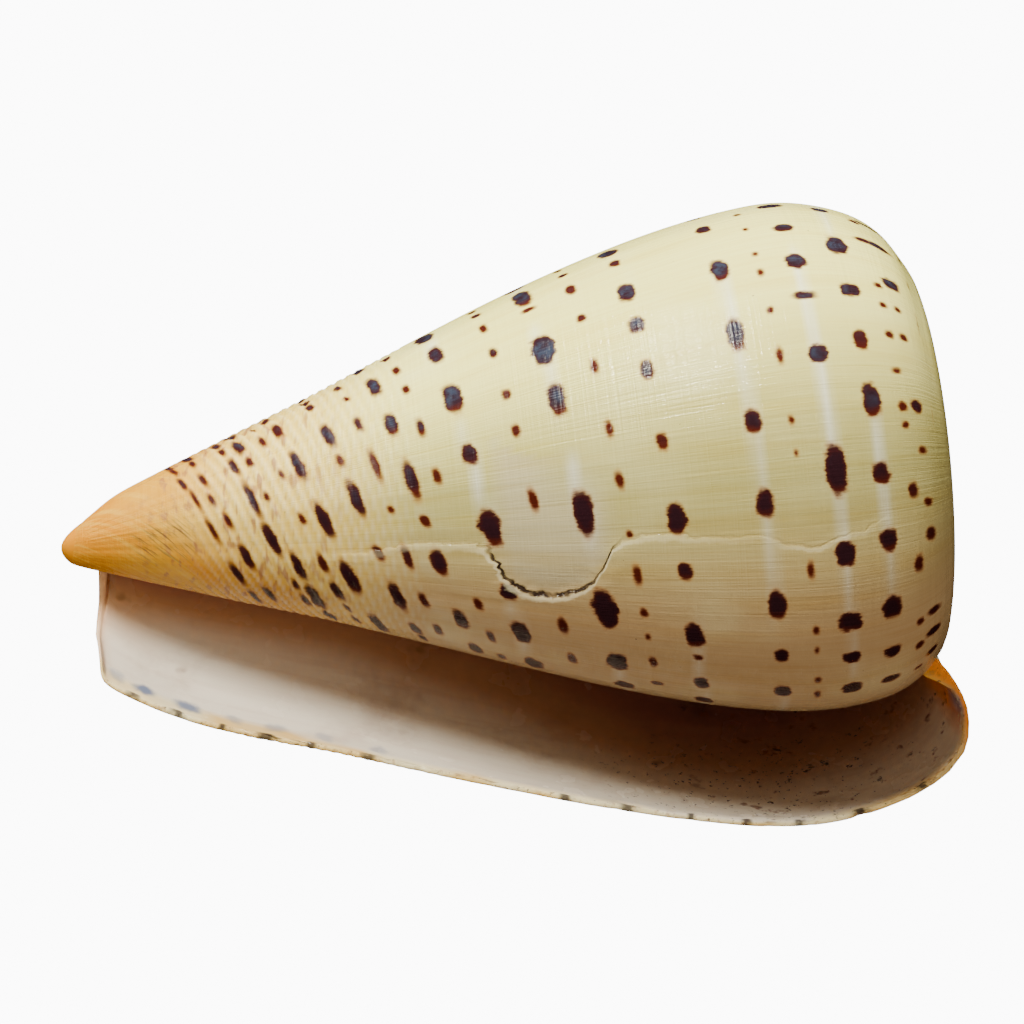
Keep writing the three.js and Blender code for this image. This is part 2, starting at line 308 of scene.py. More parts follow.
def body_spots():
    """Every spot on the side of the last whorl, one line each: A, growth t, half width, half
    height, tone, slope of the row and a number drawn for it. The rows go on over the back to
    the lip with spots of their own."""
    spots = []
    for a_from, a_to, row in SPOT_ROWS:
        slope = row_slope(a_from, a_to)
        for degrees, width, height, tone in row:
            spots.append((a_from + slope * (ROW_FROM - degrees), degrees / 360, width / 2,
                          height / 2, tone, slope))
        sizes = np.array([spot[1:] for spot in row])
        large = sizes[:, 0].mean() > 1.3
        degrees = max(spot[0] for spot in row) + chance.uniform(12, 20)
        while degrees < -1:
            width, height, tone = sizes[chance.randint(len(sizes))]
            width, height = width * chance.uniform(0.85, 1.15), height * chance.uniform(0.8, 1.2)
            spots.append((a_from + slope * (ROW_FROM - degrees) * 0.8, degrees / 360, width / 2,
                          height / 2, tone, slope))
            degrees += chance.uniform(15, 26) if large else chance.uniform(11, 24)
    spots = np.array(spots)
    return np.column_stack([spots, chance.uniform(0, 1, len(spots))])


RAMP_STATION_WIDTH = 3.0   # mm that a station of the spire's ramp stands for, across the flecks


def ramp_flecks():
    """Flecks on the spire's ramp: place across it in mm, growth t, half width, half height,
    tone, 0 and a number."""
    flecks = []
    where = -0.02
    while where > -6:
        size = WHORL_RATIO ** max(where, -4)
        flecks.append((chance.uniform(14.3, 16.6) * RAMP_STATION_WIDTH, where,
                       chance.uniform(0.5, 1.1) * size ** 0.5,
                       chance.uniform(0.8, 1.9) * size ** 0.6, chance.uniform(0.1, 0.7), 0,
                       chance.uniform()))
        where -= chance.uniform(0.022, 0.05)
    return np.array(flecks)


def nearest_spot(across, t, radius, spots, reach):
    """For each face, the number of the spot nearest to its middle, of those within reach in
    growth. across is A, or the place across the ramp in mm."""
    best = np.full(len(across), -np.inf)
    pick = np.zeros(len(across), dtype=int)
    for n, (where, spot_t, width, height, _, slope, _) in enumerate(spots):
        near = np.nonzero(np.abs(t - spot_t) < reach)[0]
        turned = (t[near] - spot_t) * 360
        dx = across[near] - where + slope * turned
        dy = turned * np.pi / 180 * radius[near]
        inside = (1 - np.hypot(dx / width, dy / height)) * min(width, height)
        better = inside > best[near]
        best[near[better]] = inside[better]
        pick[near[better]] = n
    return pick


side_stations = np.linspace(0, 13, 261)
SCAR_R = profile(-0.8, np.interp(SCAR_A, station(0, side_stations), side_stations))[1]


def scar_distance(a, degrees):
    """Distance past the scar on the side grown later, in mm, and how strong it is there."""
    scar_a = np.arange(28, 104, 0.25)
    jags = 0.35 * waves[3](scar_a * 1.7) + 0.45 * waves[2](scar_a * 0.8) * smooth((scar_a - 70) / 4)
    scar_round = np.interp(scar_a, SCAR_A, SCAR_ROUND) + jags
    scar_y = scar_round * np.pi / 180 * np.interp(scar_a, SCAR_A, SCAR_R)
    y = degrees * np.pi / 180 * np.interp(a, SCAR_A, SCAR_R)
    past = y - np.interp(a, scar_a, scar_y)
    shape = a.shape
    a, y, past = a.ravel(), y.ravel(), past.ravel().copy()
    near = np.nonzero((np.abs(past) < 18) & (a > 26) & (a < 106))[0]
    for first in range(0, len(near), 4000):
        some = near[first:first + 4000]
        gap = np.hypot(a[some, None] - scar_a, y[some, None] - scar_y).min(1)
        past[some] = np.sign(past[some]) * gap
    depth = np.interp(a, SCAR_DEPTH_A, SCAR_DEPTH, left=0, right=0)
    return past.reshape(shape), depth.reshape(shape)


CORD_SPACING = 1.35      # all in mm
CORD_HEIGHT = 0.16
COARSE_LINES, FINE_LINES = 0.05, 0.035
RIDGE_A, RIDGE_WIDTH, RIDGE_HEIGHT = 62.6, 0.45, 0.07
SCAR_STEP, SCAR_LIP = 0.42, 0.12


def cord_height(a, t):
    """The fine spiral cords of the narrow half, from -1 in a groove to 1 on a cord."""
    drift = np.interp(a, [10, 33, 54, 77, 100], [28, 28, 24, 15, 7])   # mm along in a whorl
    threads = (a + drift * t) / CORD_SPACING + 0.12 * waves[4](t * 30, a * 0.2)
    return smooth((a - 13) / 12) * smooth((54 - a) / 20) * np.cos(2 * np.pi * threads)


def relief(a, t, s, past, depth):
    """How far the outer face stands off the plain growth form, in mm."""
    along = smooth((s - 0.3) / 1.5) * smooth((13.2 - s) / 1.2)
    lines = COARSE_LINES * waves[1](t * 46) + FINE_LINES * waves[2](t * 118, a * 0.02)
    lift = lines * along
    lift += CORD_HEIGHT * cord_height(a, t) * along
    on_ridge = smooth(past / 1.5) * smooth((9 - past) / 4) * (depth > 0.9)
    lift += RIDGE_HEIGHT * np.exp(-((a - RIDGE_A) / RIDGE_WIDTH) ** 2) * on_ridge
    lift -= np.where(past > 0, SCAR_STEP * np.exp(-past / 3.2),
                     -SCAR_LIP * np.exp(past / 1.2)) * depth
    return lift * smooth((t + 1.0) / 0.03) * smooth(-t / 0.012 + 0.35)


# Colours of the shell, as linear red, green and blue.
CREAM = (0.86, 0.80, 0.22)
IVORY = (0.88, 0.80, 0.46)
# Painted shade: the cream darkened for the side turned from the light.
PAINTED_SHADE_STRAW = (0.455, 0.405, 0.13)
PEACH = (0.80, 0.55, 0.09)
# Where laid on the lower side, tan is partly painted shade and partly the shell's own tan.
TAN = (0.47, 0.29, 0.145)
ORANGE = (0.62, 0.29, 0.015)
TIP_ORANGE = (0.62, 0.225, 0.0)
GREY_ENAMEL = (0.52, 0.45, 0.26)
MILK = (0.80, 0.82, 0.68)
LIP_WHITE = (0.90, 0.79, 0.59)
LIP_PEACH = (0.84, 0.46, 0.20)
CANAL_PEACH = (0.90, 0.62, 0.38)
LIP_TAN = (0.50, 0.25, 0.10)
# THROAT and THROAT_DARK are partly painted shade of the hollow.
THROAT = (0.30, 0.105, 0.045)
THROAT_DARK = (0.25, 0.080, 0.052)
AMBER = (0.95, 0.27, 0.0)
SMUDGE = (0.12, 0.17, 0.29)
RIM_CREAM = (0.95, 0.80, 0.40)
RIM_GOLD = (0.85, 0.50, 0.06)
RIM_DARK = (0.03, 0.02, 0.02)
# Near-black of a patch deep in the throat, under the body whorl.
BLACK_PATCH = (0.02, 0.015, 0.01)


def blend(base, colour, weight):
    """Lays a colour over another, as strongly as the weight says at each point."""
    return base + (np.asarray(colour) - np.asarray(base)) * np.asarray(weight)[..., None]


def outer_ground(a, t):
    """Ground colour of the outer face. It is cream on the side that lies in the light; straw further
    back is painted shade, and tan below it is partly painted shade, partly the shell's own tan.
    It is ivory elsewhere, and peach to orange at the narrow end."""
    late = smooth((t + 1.1) / 0.1)
    ivory = np.maximum(smooth((t + 0.5) / 0.15), 1 - late)
    ground = blend(np.broadcast_to(CREAM, a.shape + (3,)), IVORY, ivory)
    # Painted shade: the ground darkens to straw on the side turned from the light.
    ground = blend(ground, PAINTED_SHADE_STRAW, smooth((-t - 0.61) / 0.14) * late)
    ground = blend(ground, ground * 0.93, 0.5 + 0.5 * waves[0](t * 9, a * 0.03))
    # Partly painted shade and partly the shell's own tan: the lower side goes tan.
    ground = blend(ground, TAN, 0.85 * smooth((-t - 0.74) / 0.13) * smooth((a - 10) / 20) * late)
    ground = blend(ground, PEACH, 0.9 * smooth((49 - a) / 20))
    orange_edge = 27 + 2.5 * waves[1](t * 14) + 16 * smooth((-t - 0.78) / 0.12)
    ground = blend(ground, ORANGE, smooth((orange_edge - a) / 14))
    ground = blend(ground, TIP_ORANGE, smooth((13 - a + 2 * waves[2](t * 17)) / 9))
    streak = np.exp(-((a - 17.5 + 40 * (t + 0.83)) / 2.4) ** 2 - ((t + 0.84) / 0.05) ** 2)
    ground = blend(ground, TIP_ORANGE, 0.8 * streak)
    cords = cord_height(a, t)
    ground = blend(ground, MILK, 0.24 * np.clip(cords, 0, 1))
    return blend(ground, TAN, 0.22 * np.clip(-cords, 0, 1))


def inner_ground(a, t, u):
    """Ground colour of the inner face: white inside the lip, then tan, then dark red brown. The
    darkening inward is partly the shell's own colour, partly painted shade of the hollow, and
    its reach nearer the rim towards the wide end is painted shade of the body whorl.
    """
    depth = -t + 0.008 * waves[2](a * 0.09)
    # Painted shade of the body whorl: the white band is narrower towards the wide end.
    white = mix(0.08, 0.027, smooth((a - 30) / 50))
    ground = np.broadcast_to(LIP_WHITE, a.shape + (3,)).copy()
    ground = blend(ground, LIP_PEACH, 0.9 * smooth((14 - a) / 10) * smooth((depth - 0.04) / 0.08))
    # Partly the shell's own colour, partly painted shade of the hollow: tan, then red brown, deeper in.
    ground = blend(ground, LIP_TAN, smooth((depth - white) / 0.05))
    ground = blend(ground, THROAT, smooth((depth - white - 0.035) / 0.06))
    # Painted shade of the body whorl: the darkest brown starts nearer the rim towards the wide end.
    dark_from = 0.11 - 0.065 * smooth((a - 55) / 25)
    ground = blend(ground, THROAT_DARK, smooth((depth - dark_from) / 0.09))
    # A blotchy near-black patch deep in the throat towards the wide end, under the body whorl.
    black_patch = np.exp(-((a - 86) / 7) ** 2) * smooth((depth - 0.095) / 0.03)
    ground = blend(ground, BLACK_PATCH, 0.9 * black_patch * smooth(0.7 + waves[5](a * 0.5, t * 90)))
    ground = blend(ground, AMBER, smooth((u * SUTURE - 14) / 1.1) * smooth((0.2 - depth) / 0.1))
    margin = smooth((0.07 - u) / 0.05) * smooth((0.40 - depth) / 0.1)
    ground = blend(ground, blend(LIP_PEACH, CANAL_PEACH, smooth((0.12 - depth) / 0.1)), 0.9 * margin)
    edge = smooth((0.0075 + 0.003 * waves[3](a * 0.4) - depth) / 0.005)
    ground = blend(ground, blend(RIM_CREAM, RIM_GOLD, smooth(0.2 + waves[4](a * 0.22))), 0.75 * edge)
    grey = np.exp(-((u * SUTURE - 15.3) / 0.5) ** 2) * smooth((0.035 - depth) / 0.02)
    return blend(ground, SMUDGE, 0.8 * grey)


def rim_ground(a, u, inward=0.0):
    """Colour of the rim; inward is how far toward the inner face, from 0 to 1."""
    gold = smooth(0.55 + 1.2 * waves[4](a * 0.22)) * (1 - inward)
    ground = blend(np.broadcast_to(RIM_CREAM, a.shape + (3,)), RIM_GOLD, gold)
    ground = blend(ground, AMBER, smooth((u * SUTURE - 13.6) / 1.2))
    return blend(ground, inner_ground(a, np.zeros(a.shape), u), smooth(inward * 1.6 - 0.6))


def row_stripes(a, t, s):
    """The milky bands that the large spots sit on."""
    stripe = np.zeros(a.shape)
    for a_from, a_to, row in SPOT_ROWS:
        if np.mean([spot[1] for spot in row]) > 1.6:
            middle = a_from + row_slope(a_from, a_to) * (ROW_FROM - t * 360)
            stripe = np.maximum(stripe, np.exp(-((a - middle) / 0.65) ** 2))
    return stripe * smooth(0.35 + 1.2 * waves[5](t * 16, a * 0.3)) * (s < 13)


# Columns in a whorl and rows of the shell's surface. The rows are closest where the cords are.
OUTER_COLUMNS = 280
HOLLOW_COLUMNS = 120
body_rows = np.concatenate([np.linspace(0, 2.8, 18, endpoint=False),
                            np.linspace(2.8, 6.1, 92, endpoint=False),
                            np.linspace(6.1, INNER_EDGE, 68)])
ramp_rows = np.linspace(SHOULDER, SUTURE, 9)
hollow_rows = np.linspace(0, INNER_EDGE, 56)
ENAMEL, PORCELAIN, RIM = 0, 1, 2
FINISHES = [bpy.data.materials.new(name)
            for name in ("spotted_enamel", "inner_porcelain", "lip_rim")]
AWAY = np.array([9.0, 9.0, 0.0])   # a place outside every spot
NO_SCAR = (-9.0, 0.0)
pieces = []


def give(mesh, name, values, kind):
    """Stores a value, vector or colour for each face corner."""
    layer = mesh.attributes.new(name, kind, "CORNER")
    values = np.asarray(values, dtype=np.float32)
    if kind == "FLOAT_COLOR":
        values = np.concatenate([values, np.ones(values.shape[:-1] + (1,), dtype=np.float32)], -1)
    layer.data.foreach_set({"FLOAT": "value", "FLOAT_VECTOR": "vector", "FLOAT_COLOR": "color"}[kind],
                           values.ravel())


def dress(mesh, corner, finish, a, t, ground, stripe=0.0, scar=NO_SCAR, spot=None):
    """Lays what the finishes read onto each face corner of a sheet or band."""
    spread = lambda values: np.broadcast_to(values, a.shape).ravel()[corner]
    uv = mesh.uv_layers.new(name="growth")
    uv.data.foreach_set("uv", np.stack([spread(a) / 100, spread(t)], -1).ravel())
    give(mesh, "stripe", spread(stripe), "FLOAT")
    give(mesh, "scar", np.stack([spread(scar[0]), spread(scar[1]), spread(0.0)], -1), "FLOAT_VECTOR")
    give(mesh, "ground", ground.reshape(-1, 3)[corner], "FLOAT_COLOR")
    if spot is None:
        spot = np.broadcast_to(AWAY, (len(corner), 3)), np.ones((len(corner), 3))
    give(mesh, "spot_place", spot[0], "FLOAT_VECTOR")
    give(mesh, "spot_form", spot[1], "FLOAT_VECTOR")
    for material in FINISHES:
        mesh.materials.append(material)
    index = np.full(len(mesh.polygons), finish, dtype=np.int32)
    mesh.polygons.foreach_set("material_index", index)


def corners_of(mesh):
    """The point that each face corner sits on."""
    corner = np.empty(len(mesh.loops), dtype=np.int32)
    mesh.loops.foreach_get("vertex_index", corner)
    return corner


def add_sheet(name, points):
    """A plain grid whose points are moved to where the growth puts them."""
    rows, columns = points.shape[:2]
    bpy.ops.object.select_all(action="DESELECT")
    bpy.ops.mesh.primitive_grid_add(x_subdivisions=columns - 1, y_subdivisions=rows - 1, size=0.1)
    sheet = bpy.context.object
    sheet.name = name
    sheet.data.vertices.foreach_set("co", on_the_floor(points).ravel())
    sheet.data.uv_layers.remove(sheet.data.uv_layers[0])
    pieces.append(sheet)
    return sheet


def edit_marked(piece, kind, marked):
    """Opens a piece for editing with only its marked faces or points selected."""
    bpy.ops.object.select_all(action="DESELECT")
    piece.select_set(True)
    bpy.context.view_layer.objects.active = piece
    bpy.ops.object.mode_set(mode="EDIT")
    bpy.ops.mesh.select_mode(type=kind)
    bpy.ops.mesh.select_all(action="DESELECT")
    bpy.ops.object.mode_set(mode="OBJECT")
    parts = piece.data.polygons if kind == "FACE" else piece.data.vertices
    parts.foreach_set("select", marked)
    bpy.ops.object.mode_set(mode="EDIT")


def add_faces(name, points, faces):
    """A piece made from points of the shell's own frame and the faces between them."""
    mesh = bpy.data.meshes.new(name)
    mesh.from_pydata(on_the_floor(points).tolist(), [], faces)
    piece = bpy.data.objects.new(name, mesh)
    bpy.context.scene.collection.objects.link(piece)
    pieces.append(piece)
    return mesh


def spots_on_faces(corner, across, t, radius, spots, reach, where):
    """Place of each corner from its face's nearest spot, and that spot's form. Faces that
    aren't wholly where the spots go are put outside them."""
    quad = corner.reshape(-1, 4)
    middle = lambda values: values.ravel()[quad].mean(1)
    pick = nearest_spot(middle(across), middle(t), middle(radius), spots, reach)
    chosen = np.repeat(spots[pick], 4, axis=0)
    turned = (t.ravel()[corner] - chosen[:, 1]) * 360
    dx = across.ravel()[corner] - chosen[:, 0] + chosen[:, 5] * turned
    dy = turned * np.pi / 180 * radius.ravel()[corner]
    spot_place = np.stack([dx, dy, chosen[:, 6]], -1)
    spot_place[~np.repeat(where.ravel()[quad].all(1), 4)] = AWAY
    return spot_place, chosen[:, 2:5]


def lip_wear(a, t, u):
    """Small chips and waves along the lip's edge, as a change of growth t."""
    chips = 0.003 * smooth(waves[2](a * 0.6) * 4 - 2.2)
    worn = 0.0016 * waves[0](a * 0.35) + 0.0009 * waves[1](a * 1.3) - chips
    return t + worn * smooth((t + 0.02) / 0.02) * smooth((1 - u) / 0.08) * smooth(u / 0.04)


def add_outer(name, t, rows, reach):
    """A sheet of the outer face, with its relief, ground colour, spots, stripes and scar."""
    t, s = np.broadcast_arrays(t, rows)
    a, r = profile(t, s)
    last = t >= -1
    past, depth = scar_distance(a, np.where(last, t, 0) * 360)
    depth = np.where(last, depth, 0)
    lift = np.where(last, relief(a, t, s, past, depth), 0)
    points = place(a, r + lift, lip_wear(a, t, s / SUTURE))
    sheet = add_sheet(name, points)
    corner = corners_of(sheet.data)
    body = spots_on_faces(corner, a, t, r, side_spots, reach, last & (s < 13.9))
    flecks = spots_on_faces(corner, s * RAMP_STATION_WIDTH, t, r, spire_flecks, reach / 2, s > 13.6)
    on_ramp = np.repeat(s.ravel()[corner.reshape(-1, 4)].min(1) > 13.6, 4)[:, None]
    spot = (np.where(on_ramp, flecks[0], body[0]), np.where(on_ramp, flecks[1], body[1]))
    regrown = smooth(past / 1.2) * smooth((9.5 - past) / 5)
    grey = regrown * smooth((a - 55) / 2.5) * smooth((70.5 - a) / 2.5)
    ground = blend(outer_ground(a, t), GREY_ENAMEL, np.where(last, 0.7 * grey, 0))
    dress(sheet.data, corner, ENAMEL, a, t, ground, row_stripes(a, t, s), (past, depth), spot)
    return points


side_spots = body_spots()
spire_flecks = ramp_flecks()

outer_rows = np.concatenate([body_rows, ramp_rows])
outer_points = add_outer("last_whorl", np.linspace(-1, 0, OUTER_COLUMNS + 1)[:, None], outer_rows, 0.06)
spire_t = np.linspace(-1 - SPIRE_WHORLS, -1, SPIRE_WHORLS * OUTER_COLUMNS + 1)[:, None]
spire_points = add_outer("spire_ramp", spire_t, ramp_rows, 0.08)

# The hollow: the whorl inside and the inner face share rows and columns, and both stop where
# they meet.
MEETING = 0.002   # mm
hollow_t = np.linspace(-CAVITY_WHORLS, 0, round(CAVITY_WHORLS * HOLLOW_COLUMNS) + 1)[:, None]
hollow_t, hollow_u = np.broadcast_arrays(hollow_t, hollow_rows / INNER_EDGE)
a_in, r_in = profile(hollow_t - 1, hollow_rows)
a_face, r_face = inner_profile(hollow_t, hollow_u)
apart = np.hypot(a_face - a_in, r_face - r_in) > MEETING
face_points = place(a_face, r_face, lip_wear(a_face, hollow_t, hollow_u))
inside_points = place(a_in, r_in, hollow_t)


def inside_ground(a, t):
    """The whorl inside goes from the outer colours under the lip to the dark of the throat, which
    is partly the shell's own colour and partly painted shade of the hollow.
    """
    ground = blend(outer_ground(a, np.full(a.shape, -1.0)), THROAT, smooth(-t / 0.12))
    return blend(ground, THROAT_DARK, smooth((-t - 0.05) / 0.2))


hollow_sheets = (
    ("whorl_inside", inside_points, a_in, inside_ground(a_in, hollow_t)),
    ("inner_face", face_points, a_face, inner_ground(a_face, hollow_t, hollow_u)),
)
for name, points, a, ground in hollow_sheets:
    sheet = add_sheet(name, points)
    corner = corners_of(sheet.data)
    quad = corner.reshape(-1, 4)
    dress(sheet.data, corner, PORCELAIN, a, hollow_t, ground)
    unwanted = ~apart.ravel()[quad].any(1)
    if name == "whorl_inside":   # its last column is where the last whorl starts
        unwanted |= hollow_t.ravel()[quad].max(1) > -1e-9
    edit_marked(sheet, "FACE", unwanted)
    bpy.ops.mesh.delete(type="FACE")
    bpy.ops.object.mode_set(mode="OBJECT")


def add_strip(name, lines, places, finish, a, t, ground):
    """A band of faces through lines of points. Lines with other counts are met point by point
    in the order of their places, from 0 at one end to 1 at the other."""
    starts = np.cumsum([0] + [len(line) for line in lines])
    faces = []
    for k in range(len(lines) - 1):
        one, other = places[k], places[k + 1]
        first, second = starts[k], starts[k + 1]
        i = j = 0
        while i + 1 < len(one) or j + 1 < len(other):
            ahead_one = one[i + 1] if i + 1 < len(one) else math.inf
            ahead_other = other[j + 1] if j + 1 < len(other) else math.inf
            if abs(ahead_one - ahead_other) < 1e-9:
                faces.append((first + i, first + i + 1, second + j + 1, second + j))
                i, j = i + 1, j + 1
            elif ahead_one < ahead_other:
                faces.append((first + i, first + i + 1, second + j))
                i += 1
            else:
                faces.append((first + i, second + j + 1, second + j))
                j += 1
    mesh = add_faces(name, np.concatenate(lines), faces)
    dress(mesh, corners_of(mesh), finish, a, t, ground)


# The lip's rim is rounded from the outer face to the inner one: how far across each of its
# lines lies, and how far it bulges, as a part of the whole bulge.
RIM_LINES = ((0, 0), (0.22, 0.8), (0.5, 1), (0.78, 0.8))
RIM_BULGE = 0.22   # mm
lip_place = outer_rows / SUTURE
lip_outer = outer_points[-1]
a_rim, r_rim = inner_profile(0, lip_place)
rim_inner = place(a_rim, r_rim, lip_wear(a_rim, 0.0, lip_place))
forward = place(a_rim, r_rim, 0.002) - place(a_rim, r_rim, 0.0)
forward /= np.linalg.norm(forward, axis=1, keepdims=True)
from_end = np.minimum(np.arange(len(lip_place)), np.arange(len(lip_place))[::-1])
ends = np.minimum(1, from_end / 5)[:, None]
rim_lines = [mix(lip_outer, rim_inner, across) + forward * out * RIM_BULGE * ends
             for across, out in RIM_LINES]
rim_lines.append(face_points[-1])
rim_places = [lip_place] * len(RIM_LINES) + [hollow_rows / INNER_EDGE]
rim_a = np.concatenate([a_rim] * len(RIM_LINES) + [a_face[-1]])
inward = np.concatenate([np.full(len(line), across) for line, across
                         in zip(rim_lines, [across for across, _ in RIM_LINES] + [1])])
add_strip("lip_rim", rim_lines, rim_places, RIM, rim_a, np.zeros_like(rim_a),
          rim_ground(rim_a, np.concatenate(rim_places), inward))

# The canal's edge bulges towards the tip.
CANAL_BULGE = 0.15   # mm
CANAL_A = 3.0        # where its colours are read
canal_first = round((1 + CLOSED_FROM) * OUTER_COLUMNS)
hollow_first = round((CAVITY_WHORLS + CLOSED_FROM) * HOLLOW_COLUMNS)
canal_outer, canal_inner = outer_points[canal_first:, 0], face_points[hollow_first:, 0]
canal_place = np.linspace(0, 1, len(canal_outer))
canal_inner_place = np.linspace(0, 1, len(canal_inner))
facing = np.stack([np.interp(canal_place, canal_inner_place, canal_inner[:, k])
                   for k in range(3)], -1)
swell = np.sin(np.pi * np.clip(canal_place * 1.02, 0, 1))[:, None] ** 0.5
edge_out = np.array([-CANAL_BULGE, 0, 0]) * swell
canal_lines = [canal_outer, mix(canal_outer, facing, 0.3) + edge_out * 0.8,
               mix(canal_outer, facing, 0.65) + edge_out, canal_inner]
canal_places = [canal_place] * 3 + [canal_inner_place]
canal_t = np.concatenate([CLOSED_FROM * (1 - places) for places in canal_places])
canal_a = np.full(len(canal_t), CANAL_A)
add_strip("canal_edge", canal_lines, canal_places, PORCELAIN, canal_a, canal_t,
          inner_ground(canal_a, canal_t, np.zeros(len(canal_t))))

# Where the rim and the canal's edge meet, and the end of the rim at the suture.
SUTURE_A = 111.0
corner_rings = (
    ("canal_corner", CANAL_A,
     [line[0] for line in rim_lines] + [line[-1] for line in canal_lines[2:0:-1]]),
    ("suture_corner", SUTURE_A, [line[-1] for line in rim_lines]),
)
for name, ring_a, ring in corner_rings:
    mesh = add_faces(name, np.array(ring), [(0, n, n + 1) for n in range(1, len(ring) - 1)])
    corner_a = np.full(len(ring), ring_a)
    dress(mesh, corners_of(mesh), RIM, corner_a, np.zeros(len(ring)),
          rim_ground(corner_a, corner_a / SUTURE_A))

# The seam of the last whorl with the whorl inside it.
seam_a = np.concatenate([profile(-1, body_rows)[0], a_in[-2]])
seam_t = np.repeat([0, hollow_t[-2, 0]], [len(body_rows), len(hollow_rows)])
add_strip("whorl_seam", [outer_points[0, :len(body_rows)], inside_points[-2]],
          [body_rows / INNER_EDGE, hollow_rows / INNER_EDGE], PORCELAIN, seam_a, seam_t,
          inside_ground(seam_a, seam_t))


def add_cap(name, loop, centre_a, rings, a, t):
    """A dome over a closed loop of points. rings are how wide its rings are, of the loop."""
    lines = [loop]
    for q in rings:
        ring = loop * q
        ring[:, 0] = mix(centre_a, loop[:, 0], q * q)
        lines.append(ring)
    count = len(loop)
    faces = []
    for first in range(0, len(rings) * count, count):
        for n in range(count):
            m = (n + 1) % count
            faces.append((first + n, first + m, first + count + m, first + count + n))
    centre = len(lines) * count
    faces += [(centre - count + n, centre - count + (n + 1) % count, centre) for n in range(count)]
    points = np.concatenate(lines + [np.array([[centre_a, 0.0, 0.0]])])
    mesh = add_faces(name, points, faces)
    a, t = np.full(len(points), a), np.full(len(points), t)
    dress(mesh, corners_of(mesh), ENAMEL, a, t, outer_ground(a, t))


tip_loop = np.concatenate([inside_points[hollow_first:, 0], outer_points[1:canal_first + 1, 0],
                           [line[0] for line in canal_lines[1:3]]])
add_cap("tip", tip_loop, TIP_CAP_A, (0.92, 0.8, 0.65, 0.48, 0.3, 0.14), 1.0, -0.6)
spire_loop = np.concatenate([spire_points[:OUTER_COLUMNS + 1, -1], spire_points[0, 1:-1]])
add_cap("spire_top", spire_loop, SPIRE_A, (0.8, 0.6, 0.4, 0.2), 115.0, -6.0)

bpy.ops.object.select_all(action="DESELECT")
for piece in pieces:
    piece.select_set(True)
bpy.context.view_layer.objects.active = pieces[0]
bpy.ops.object.join()
shell = bpy.context.object
shell.name = "cone_shell"
shell.data.name = "cone_shell"
bpy.ops.object.mode_set(mode="EDIT")
bpy.ops.mesh.select_mode(type="VERT")
bpy.ops.mesh.select_all(action="SELECT")
bpy.ops.mesh.remove_doubles(threshold=2e-6)
bpy.ops.mesh.normals_make_consistent(inside=False)
bpy.ops.object.mode_set(mode="OBJECT")

# The corner points where the inner face folds straight back on the whorl inside come out.
edge_ends = np.empty(len(shell.data.edges) * 2, dtype=np.int32)
shell.data.edges.foreach_get("vertices", edge_ends)
edges_at_point = np.bincount(edge_ends, minlength=len(shell.data.vertices))
edit_marked(shell, "VERT", edges_at_point == 2)
bpy.ops.mesh.dissolve_verts()
bpy.ops.object.mode_set(mode="OBJECT")

# The cap of the tip is smoothed into the whorl round it.
TIP_A, TIP_REACH = 1.0, 4.2   # mm
points = np.empty(len(shell.data.vertices) * 3)
shell.data.vertices.foreach_get("co", points)
from_tip = points.reshape(-1, 3) - on_the_floor(np.array([TIP_A, 0.0, 0.0]))
edit_marked(shell, "VERT", np.linalg.norm(from_tip, axis=1) < TIP_REACH * MM)
bpy.ops.mesh.vertices_smooth(factor=0.5, repeat=12)
bpy.ops.object.mode_set(mode="OBJECT")
bpy.ops.object.shade_smooth()

# Colours and heights that the finishes add to the ground.
GRAIN_HEIGHT = 0.0003   # metres, for every bump
SPOT_SQUARENESS = 2.3   # 2 is an ellipse, more is squarer
SCRATCH_SLANT = 0.4925  # how far the scratches beside the tip lean along the axis in a whorl
STREAK_SHADE = (0.92, 0.84, 0.72)
BAND_SHADE = (0.92, 0.85, 0.66)
CLOUD_CREAM = (0.84, 0.80, 0.40)
DASH_BROWN = (0.28, 0.10, 0.05)
SCRATCH_BROWN = (0.10, 0.07, 0.03)
TIP_GOLD = (0.72, 0.42, 0.05)
SPECK_BROWN = (0.16, 0.10, 0.05)
SMALL_SPOT = [(0.0, (0.50, 0.21, 0.03)), (0.35, (0.24, 0.055, 0.006)),
              (0.65, (0.11, 0.016, 0.004)), (1.0, (0.06, 0.009, 0.004))]
LARGE_SPOT = [(0.0, (0.46, 0.17, 0.03)), (0.25, (0.16, 0.030, 0.006)),
              (0.5, (0.045, 0.008, 0.006)), (1.0, (0.022, 0.007, 0.009))]
# Painted reflection: blue-grey of the sky on the spots of the lit side.
PAINTED_REFLECTION_BLUE = (0.032, 0.042, 0.062)
# Painted highlight along the scar's raised edge, and painted shadow below its step.
EDGE_HIGHLIGHT_CREAM = (0.86, 0.76, 0.44)
STEP_SHADOW_BROWN = (0.20, 0.12, 0.05)
CRACK_BLACK = (0.035, 0.02, 0.012)
PORCELAIN_STREAK = (0.42, 0.20, 0.08)
PORCELAIN_CLOUD = (0.30, 0.13, 0.06)
STAIN = (0.22, 0.09, 0.015)
RUST = (0.20, 0.05, 0.008)
DIRT = (0.020, 0.012, 0.008)
GRIT = (0.045, 0.022, 0.012)
PALE_GRIT = (0.85, 0.72, 0.45)
FLAKE_BROWN = (0.42, 0.20, 0.06)
PIT_BROWN = (0.10, 0.05, 0.03)


